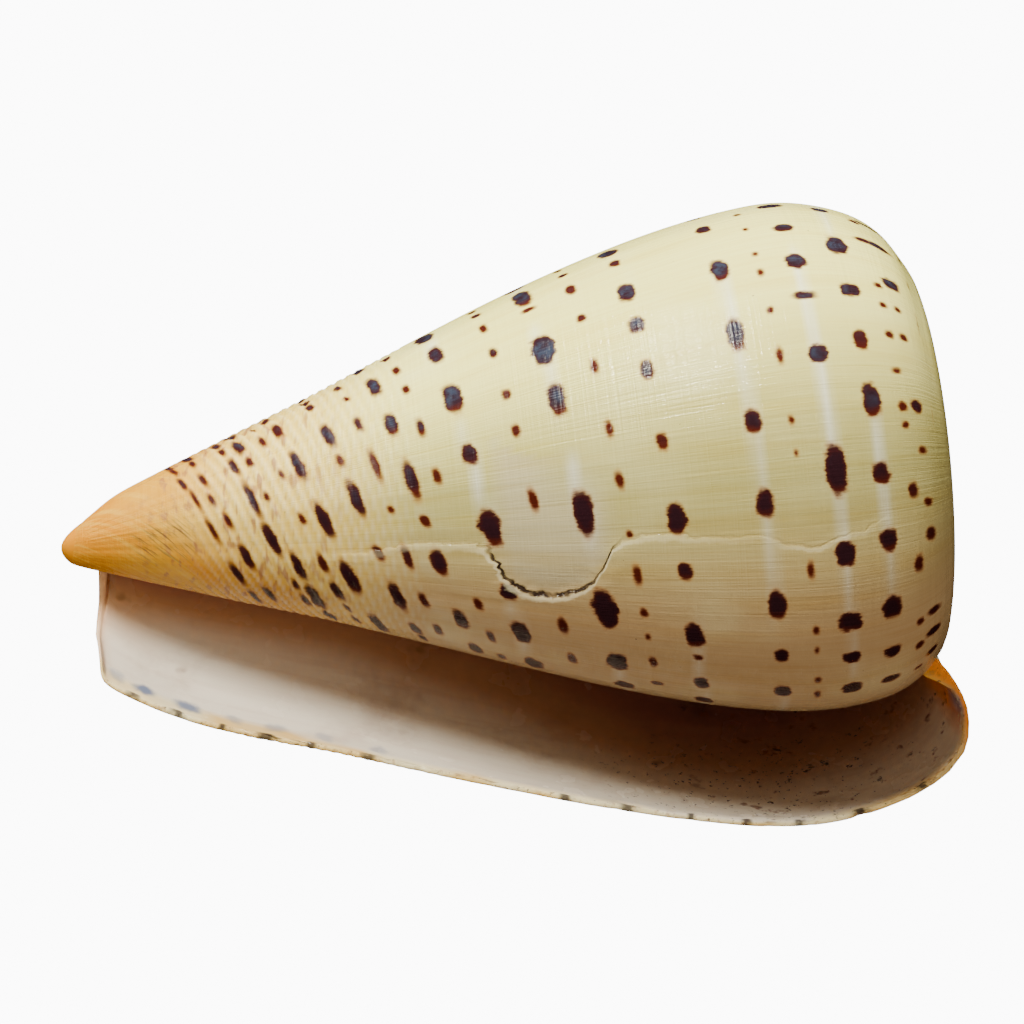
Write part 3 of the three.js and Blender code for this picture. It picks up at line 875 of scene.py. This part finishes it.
class Nodes:
    """Small help to lay out a material's nodes."""

    def __init__(self, material):
        self.material = material
        self.material.use_nodes = True
        self.tree = self.material.node_tree
        self.shader = self.tree.nodes["Principled BSDF"]

    def add(self, kind, **settings):
        node = self.tree.nodes.new(kind)
        for name, value in settings.items():
            setattr(node, name, value)
        return node

    def link(self, source, target):
        self.tree.links.new(source, target)

    def fill(self, socket, given):
        """Sets a socket to a number or colour, or links it to another socket."""
        if isinstance(given, (int, float)):
            socket.default_value = given
        elif isinstance(given, tuple):
            socket.default_value = given if len(socket.default_value) == 3 else (*given, 1)
        else:
            self.link(given, socket)

    def growth(self):
        """The shell's own map: A in tenths of a metre, and growth t."""
        return self.add("ShaderNodeUVMap", uv_map="growth").outputs["UV"]

    def place(self):
        return self.add("ShaderNodeTexCoord").outputs["Object"]

    def read(self, attribute, output="Vector"):
        return self.add("ShaderNodeAttribute", attribute_name=attribute).outputs[output]

    def parts(self, vector):
        node = self.add("ShaderNodeSeparateXYZ")
        self.link(vector, node.inputs[0])
        return node.outputs[0], node.outputs[1], node.outputs[2]

    def math(self, operation, first, second=0.0, third=0.0):
        node = self.add("ShaderNodeMath", operation=operation)
        for socket, given in zip(node.inputs, (first, second, third)):
            self.fill(socket, given)
        return node.outputs[0]

    def times(self, *values):
        result = values[0]
        for other in values[1:]:
            result = self.math("MULTIPLY", result, other)
        return result

    def vector(self, operation, first, second):
        node = self.add("ShaderNodeVectorMath", operation=operation)
        self.fill(node.inputs[0], first)
        self.fill(node.inputs[3 if operation == "SCALE" else 1], second)
        return node.outputs[0]

    def fade(self, source, low, high, start=0.0, end=1.0):
        """Goes smoothly from start to end as the source goes from low to high."""
        node = self.add("ShaderNodeMapRange", interpolation_type="SMOOTHSTEP")
        self.link(source, node.inputs["Value"])
        limits = (("From Min", low), ("From Max", high), ("To Min", start), ("To Max", end))
        for socket, number in limits:
            self.fill(node.inputs[socket], number)
        return node.outputs["Result"]

    def band(self, source, middle, full, none):
        """1 up to full away from the middle, and 0 from none away on."""
        away = self.math("ABSOLUTE", self.math("SUBTRACT", source, middle))
        return self.fade(away, full, none, 1, 0)

    def noise(self, place, scale, detail, roughness, output="Fac"):
        """Noise whose scale is one number or a number for each direction."""
        mapping = self.add("ShaderNodeMapping")
        self.link(place, mapping.inputs["Vector"])
        scale = scale if isinstance(scale, tuple) else (scale, scale, scale)
        mapping.inputs["Scale"].default_value = scale
        node = self.add("ShaderNodeTexNoise")
        self.link(mapping.outputs["Vector"], node.inputs["Vector"])
        node.inputs["Scale"].default_value = 1.0
        node.inputs["Detail"].default_value = detail
        node.inputs["Roughness"].default_value = roughness
        return node.outputs[output]

    def shaken(self, point, noise, amount):
        """A point moved about by the colours of a noise."""
        offset = self.vector("SUBTRACT", noise, (0.5, 0.5, 0.5))
        return self.vector("ADD", point, self.vector("SCALE", offset, amount))

    def mix(self, weight, first, second, blend="MIX"):
        node = self.add("ShaderNodeMix", data_type="RGBA", blend_type=blend)
        self.fill(node.inputs["Factor"], weight)
        self.fill(node.inputs[6], first)
        self.fill(node.inputs[7], second)
        return node.outputs[2]

    def ramp(self, source, stops):
        node = self.add("ShaderNodeValToRGB")
        self.link(source, node.inputs["Fac"])
        ramp = node.color_ramp
        while len(ramp.elements) < len(stops):
            ramp.elements.new(0.5)
        for element, (position, colour) in zip(ramp.elements, stops):
            element.position = position
            element.color = (*colour, 1)
        return node.outputs["Color"]

    def bump(self, height, strength, normal=None):
        node = self.add("ShaderNodeBump")
        node.inputs["Strength"].default_value = strength
        node.inputs["Distance"].default_value = GRAIN_HEIGHT
        self.link(height, node.inputs["Height"])
        if normal is not None:
            self.link(normal, node.inputs["Normal"])
        return node.outputs["Normal"]

    def finish(self, **values):
        """Sets or links sockets of the shader, whose names are given with _ for a space."""
        for name, value in values.items():
            self.fill(self.shader.inputs[name.replace("_", " ")], value)


def dab(n, growth, a, t, half_a, half_t):
    """How much of a soft dab of colour lies on a place, from its middle and its half sizes."""
    offset = n.vector("SUBTRACT", growth, (a / 100, t, 0))
    offset = n.vector("MULTIPLY", offset, (100 / half_a, 1 / half_t, 0))
    length = n.add("ShaderNodeVectorMath", operation="LENGTH")
    n.link(offset, length.inputs[0])
    return n.fade(length.outputs["Value"], 0.35, 1.25, 1, 0)


def rim_dashes(n, growth, place, colour):
    """The dark dashes that cross the rim and end on its inner side."""
    bent = n.shaken(growth, n.noise(place, 700, 2, 0.5, "Color"), 0.006)
    for a, half in RIM_DASHES:
        dash = dab(n, bent, a, 0.0008, half * 1.9, 0.0022)
        colour = n.mix(n.math("MULTIPLY", dash, 0.88), colour, RIM_DARK)
    return colour


def rim_smudges(n, growth, place, colour):
    """The blue-grey smudges behind the rim."""
    bent = n.shaken(growth, n.noise(place, 450, 2, 0.5, "Color"), 0.012)
    for a, half, strength in RIM_SMUDGES:
        smudge = dab(n, bent, a + 0.3, -0.012, half * 1.25, 0.0075)
        colour = n.mix(n.math("MULTIPLY", smudge, strength * 0.9), colour, SMUDGE)
    return colour


def spot_depth(n, growth, place):
    """Millimetres inside the nearest spot's soft, uneven edge, its tone, the way across it
    and its number."""
    half_width, half_height, tone = n.parts(n.read("spot_form"))
    small = n.math("MINIMUM", half_width, half_height)
    spot = n.read("spot_place")
    number = n.parts(spot)[2]
    coarse = n.noise(place, 650, 1, 0.5, "Color")
    fine = n.noise(growth, (110, 620, 1), 2, 0.6, "Color")
    bent = n.shaken(spot, coarse, n.math("MULTIPLY_ADD", small, 0.75, 0.1))
    bent = n.shaken(bent, fine, n.math("MULTIPLY_ADD", small, 0.3, 0.2))
    x, y, _ = n.parts(bent)
    across = n.math("DIVIDE", x, half_width)
    around = n.math("DIVIDE", y, half_height)
    total = n.math("ADD", n.math("POWER", n.math("ABSOLUTE", across), SPOT_SQUARENESS),
                   n.math("POWER", n.math("ABSOLUTE", around), SPOT_SQUARENESS))
    inside = n.math("SUBTRACT", 1.0, n.math("POWER", total, 1 / SPOT_SQUARENESS))
    return n.math("MULTIPLY", inside, small), tone, around, number


def enamel_ground(n, growth, place, streaks):
    """The ground of the outer face with growth streaks, milky stripes, brown dashes on the
    cords, and the dark scratches and gold streaks beside the tip."""
    along, turn, _ = n.parts(growth)
    ground = n.read("ground", "Color")
    ground = n.mix(n.fade(streaks, 0.35, 0.72, 0, 0.5), ground, STREAK_SHADE, "MULTIPLY")
    bands = n.noise(growth, (4, 60, 1), 3, 0.55)
    ground = n.mix(n.fade(bands, 0.45, 0.7, 0, 0.6), ground, BAND_SHADE, "MULTIPLY")
    clouds = n.fade(n.noise(place, 55, 3, 0.5), 0.45, 0.75, 0, 0.22)
    ground = n.mix(n.times(clouds, n.fade(along, 0.25, 0.45)), ground, CLOUD_CREAM)
    # The milky bands are the shell's own; laying them stronger on the side toward the light is painted
    # highlight.
    milky = n.times(n.read("stripe", "Fac"), n.fade(turn, -0.84, -0.70, 0.22, 0.5))
    ground = n.mix(milky, ground, MILK)

    on_cords = n.times(n.fade(along, 0.08, 0.15), n.fade(along, 0.27, 0.44, 1, 0))
    dashes = n.fade(n.noise(growth, (88, 20, 1), 2, 0.5), 0.54, 0.68)
    ground = n.mix(n.times(dashes, on_cords, 0.7), ground, DASH_BROWN)

    slanting = n.add("ShaderNodeCombineXYZ")
    n.link(n.math("MULTIPLY_ADD", turn, SCRATCH_SLANT, along), slanting.inputs[0])
    n.link(turn, slanting.inputs[1])
    slanting = slanting.outputs[0]
    beside_tip = n.times(n.band(along, 0.135, 0.02, 0.05), n.band(turn, -0.765, 0.03, 0.085))
    scratches = n.fade(n.noise(slanting, (300, 13, 1), 2, 0.6), 0.51, 0.60)
    ground = n.mix(n.times(scratches, beside_tip, 0.9), ground, SCRATCH_BROWN)
    gold = n.fade(n.noise(slanting, (120, 6, 1), 3, 0.6), 0.42, 0.68)
    ground = n.mix(n.times(gold, n.fade(along, 0.10, 0.30, 1, 0), 0.5), ground, TIP_GOLD)
    specks = n.fade(n.noise(place, 1500, 1, 0.4), 0.80, 0.84, 0, 0.7)
    return n.mix(specks, ground, SPECK_BROWN)


def paint_spots(n, growth, place, ground):
    """Large spots are nearly black with a rusty edge, small ones are red brown, and the older
    end of many is paler. Those on the side toward the light get a painted blue-grey reflection of the sky."""
    depth, tone, around, number = spot_depth(n, growth, place)
    older_end = n.times(n.fade(around, -1.0, 0.1, 1, 0), n.fade(number, 0.2, 0.8, 0.35, 1), 0.9)
    tone = n.math("MULTIPLY", tone, n.math("SUBTRACT", 1.0, older_end))
    small = n.ramp(n.fade(depth, -0.36, 0.32), SMALL_SPOT)
    large = n.ramp(n.fade(depth, -0.36, 0.60), LARGE_SPOT)
    spot = n.mix(n.fade(tone, 0.05, 0.7), small, large)
    # Painted reflection: a blue-grey sheen on the spots of the side toward the light.
    painted_reflection = n.times(n.fade(n.noise(place, 420, 3, 0.6), 0.36, 0.62, 0.15, 1),
                   n.fade(n.parts(growth)[1], -0.76, -0.64), n.fade(depth, -0.2, 0.7), tone, 0.9)
    spot = n.mix(painted_reflection, spot, PAINTED_REFLECTION_BLUE)
    return n.mix(n.fade(depth, -0.36, 0.20), ground, spot)


def paint_scar(n, place, ragged, line, strength, colour):
    """The healed scar: a painted highlight along its raised edge, a painted shadow below its step, and the
    dark crack where it is deepest.
    """
    # Painted highlight: a cream line along the raised, older edge of the scar.
    edge_highlight = n.times(n.band(ragged, -0.3, 0.05, 0.3), n.fade(strength, 0.1, 0.6), 0.5)
    colour = n.mix(edge_highlight, colour, EDGE_HIGHLIGHT_CREAM)
    # Painted shadow: a brown line below the step of the scar.
    seam = n.times(n.fade(line, 0.02, 0.14, 1, 0), n.fade(strength, 0.1, 0.4), 0.35)
    colour = n.mix(seam, colour, STEP_SHADOW_BROWN)
    crack = n.times(n.fade(line, 0.08, 0.24, 1, 0), n.fade(strength, 0.6, 0.9),
                    n.fade(n.noise(place, 600, 2, 0.5), 0.3, 0.55, 0.55, 1))
    return n.mix(crack, colour, CRACK_BLACK)


def make_enamel():
    """Glossy outer face: ground, spots and scar, with fine growth lines crossed by threads."""
    n = Nodes(FINISHES[ENAMEL])
    growth, place = n.growth(), n.place()
    streaks = n.noise(growth, (5, 420, 1), 4, 0.6)
    past, strength, _ = n.parts(n.read("scar"))
    jags = n.math("MULTIPLY", n.math("SUBTRACT", n.noise(place, 900, 3, 0.6), 0.5), 0.5)
    ragged = n.math("ADD", past, jags)
    line = n.math("ABSOLUTE", n.math("SUBTRACT", ragged, 0.06))

    colour = enamel_ground(n, growth, place, streaks)
    colour = paint_spots(n, growth, place, colour)
    colour = paint_scar(n, place, ragged, line, strength, colour)

    ledge = n.math("MULTIPLY", n.fade(ragged, -0.12, 0.12, 1, 0), strength)
    groove = n.times(n.fade(line, 0.05, 0.25, 1, 0), strength, 0.5)
    normal = n.bump(n.math("SUBTRACT", ledge, groove), 0.8)
    normal = n.bump(n.noise(growth, (6, 520, 1), 3, 0.65), 0.36, normal)
    normal = n.bump(n.noise(growth, (170, 3, 1), 2, 0.6), 0.32, normal)
    normal = n.bump(n.noise(place, 800, 3, 0.6), 0.08, normal)
    n.finish(Base_Color=colour, Roughness=n.fade(streaks, 0.3, 0.75, 0.07, 0.14),
             Specular_IOR_Level=0.3, Normal=normal)


def make_porcelain():
    """Smooth inside, with stains, rust and dirt towards the wide end, and marks at the rim."""
    n = Nodes(FINISHES[PORCELAIN])
    growth, place = n.growth(), n.place()
    along, turn, _ = n.parts(growth)
    streaks = n.noise(growth, (5, 90, 1), 3, 0.55)
    colour = n.mix(n.fade(streaks, 0.45, 0.75, 0, 0.14), n.read("ground", "Color"),
                   PORCELAIN_STREAK)
    clouds = n.noise(place, 90, 4, 0.6)
    colour = n.mix(n.fade(clouds, 0.5, 0.75, 0, 0.3), colour, PORCELAIN_CLOUD)
    stains = n.noise(place, 150, 3, 0.55)
    deep = n.fade(turn, -0.06, -0.03, 1, 0)
    colour = n.mix(n.times(n.fade(stains, 0.66, 0.76), deep, 0.55), colour, STAIN)
    wide_end = n.fade(along, 0.70, 0.90)
    rust = n.noise(place, 330, 3, 0.6)
    colour = n.mix(n.times(n.fade(rust, 0.60, 0.70), wide_end, 0.7), colour, RUST)
    dirt = n.noise(place, 260, 5, 0.7)
    behind_rim = n.fade(turn, -0.03, -0.015, 1, 0)
    colour = n.mix(n.times(n.fade(dirt, 0.635, 0.70), wide_end, behind_rim, 0.75), colour, DIRT)
    grit = n.noise(place, 1150, 3, 0.65)
    grit_zone = n.times(n.fade(along, 0.62, 0.78), n.fade(along, 1.0, 1.1, 1, 0),
                        n.fade(turn, -0.10, -0.05))
    colour = n.mix(n.times(n.fade(grit, 0.62, 0.67), grit_zone, 0.85), colour, GRIT)
    pale_grit = n.noise(place, 1500, 2, 0.6)
    rim_zone = n.times(n.fade(along, 0.60, 0.68), n.fade(turn, -0.02, -0.006))
    colour = n.mix(n.times(n.fade(pale_grit, 0.55, 0.64), rim_zone, 0.6), colour, PALE_GRIT)
    colour = rim_smudges(n, growth, place, colour)
    colour = rim_dashes(n, growth, place, colour)

    normal = n.bump(streaks, 0.12)
    normal = n.bump(n.noise(place, 500, 3, 0.6), 0.1, normal)
    n.finish(Base_Color=colour, Roughness=n.fade(stains, 0.4, 0.75, 0.16, 0.35),
             Specular_IOR_Level=0.35, Normal=normal)


def make_rim():
    """Worn, flaking rim of the lip."""
    n = Nodes(FINISHES[RIM])
    growth, place = n.growth(), n.place()
    flakes = n.noise(place, 900, 3, 0.6)
    colour = n.mix(n.fade(flakes, 0.5, 0.68, 0, 0.55), n.read("ground", "Color"), FLAKE_BROWN)
    pits = n.noise(place, 1700, 2, 0.5)
    colour = n.mix(n.fade(pits, 0.64, 0.70, 0, 0.7), colour, PIT_BROWN)
    colour = rim_dashes(n, growth, place, colour)
    n.finish(Base_Color=colour, Roughness=0.35, Coat_Weight=0.2, Coat_Roughness=0.15,
             Normal=n.bump(flakes, 0.5))


make_enamel()
make_porcelain()
make_rim()
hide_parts("shell")
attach(shell, "root")

# The floor is white paper, bright to the eye, that throws no light back on the shell.
FLOOR_SIZE = 60
PAPER_GLOW = 11.0
bpy.ops.mesh.primitive_plane_add(size=FLOOR_SIZE, location=(0, 0, 0))
floor = bpy.context.object
floor.name = "floor"
paper = Nodes(bpy.data.materials.new("white_paper"))
paper.finish(Base_Color=(0.0, 0.0, 0.0), Specular_IOR_Level=0.0,
             Emission_Color=(1.0, 1.0, 1.0), Emission_Strength=PAPER_GLOW)
floor.data.materials.append(paper.material)
floor.visible_diffuse = False
floor.visible_glossy = False


def add_light(name, toward, distance, size, power, colour=(1, 1, 1), mirrored=False):
    """A soft light whose direction from the shell is given in the camera's directions. Only the
    mirrored one shows as a gloss on the shell, and it gives nothing else. The others are large
    and would veil the spots."""
    direction = (view_turn @ Vector(toward)).normalized()
    data = bpy.data.lights.new(name, "AREA")
    data.shape = "RECTANGLE"
    data.size, data.size_y = size
    data.energy = power
    data.color = colour
    light = bpy.data.objects.new(name, data)
    bpy.context.scene.collection.objects.link(light)
    light.location = from_view((0, 0, 0)) + direction * distance
    light.rotation_euler = (-direction).to_track_quat("-Z", "Y").to_euler()
    light.visible_glossy = mirrored
    light.visible_diffuse = not mirrored


add_light("window", (-0.30, 0.675, 0.675), distance=0.8, size=(0.3, 0.12), power=12)
add_light("skylight", (-0.10, 0.98, 0.06), distance=0.8, size=(0.6, 0.3), power=17)
add_light("pane", (-0.35, 0.80, 0.48), distance=0.8, size=(0.17, 0.08), power=7,
          colour=(1, 0.95, 0.78), mirrored=True)
add_light("room", (0.25, -0.62, 0.74), distance=1.0, size=(0.8, 0.8), power=3.3,
          colour=(1, 0.88, 0.76))

world = bpy.data.worlds.new("studio")
bpy.context.scene.world = world
world.use_nodes = True
background = world.node_tree.nodes["Background"]
background.inputs["Color"].default_value = (1, 0.88, 0.80, 1)
background.inputs["Strength"].default_value = 0.3
world.cycles_visibility.glossy = False
